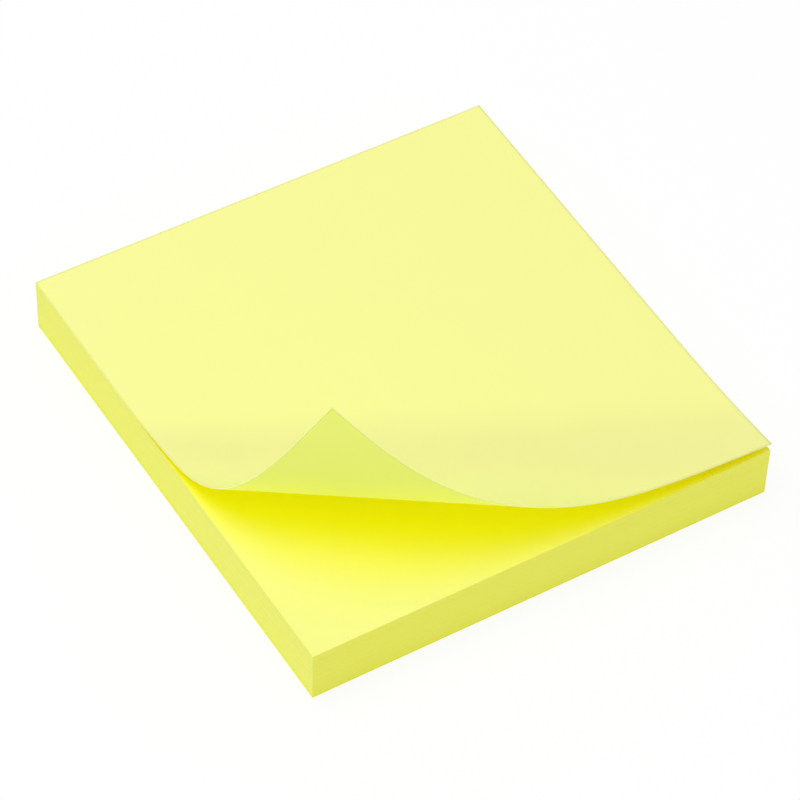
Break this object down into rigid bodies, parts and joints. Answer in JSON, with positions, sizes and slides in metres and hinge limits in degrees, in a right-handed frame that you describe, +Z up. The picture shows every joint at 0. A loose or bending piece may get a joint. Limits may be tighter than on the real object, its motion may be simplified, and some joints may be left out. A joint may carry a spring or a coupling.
{
  "type": "sticky note pad",
  "caption": "Square pad of pale yellow adhesive notes, glued along one edge, with the top note's free corner curled up and over.",
  "frame": {"origin": "on the face that the pad rests on, below the middle of the whole pad", "axes": "+Z up through the stack, +X along the glued edge, +Y towards the glued edge; the curled corner is at -X and -Y"},
  "size_m": [0.0768, 0.076, 0.0364],
  "materials": {
    "stack_paper": "matte pale yellow paper, cut edges",
    "top_note_paper": "matte pale yellow paper"
  },
  "bodies": {
    "root": {"sheet_stack": "stack_paper", "top_sheet": "top_note_paper"}
  },
  "joints": []
}
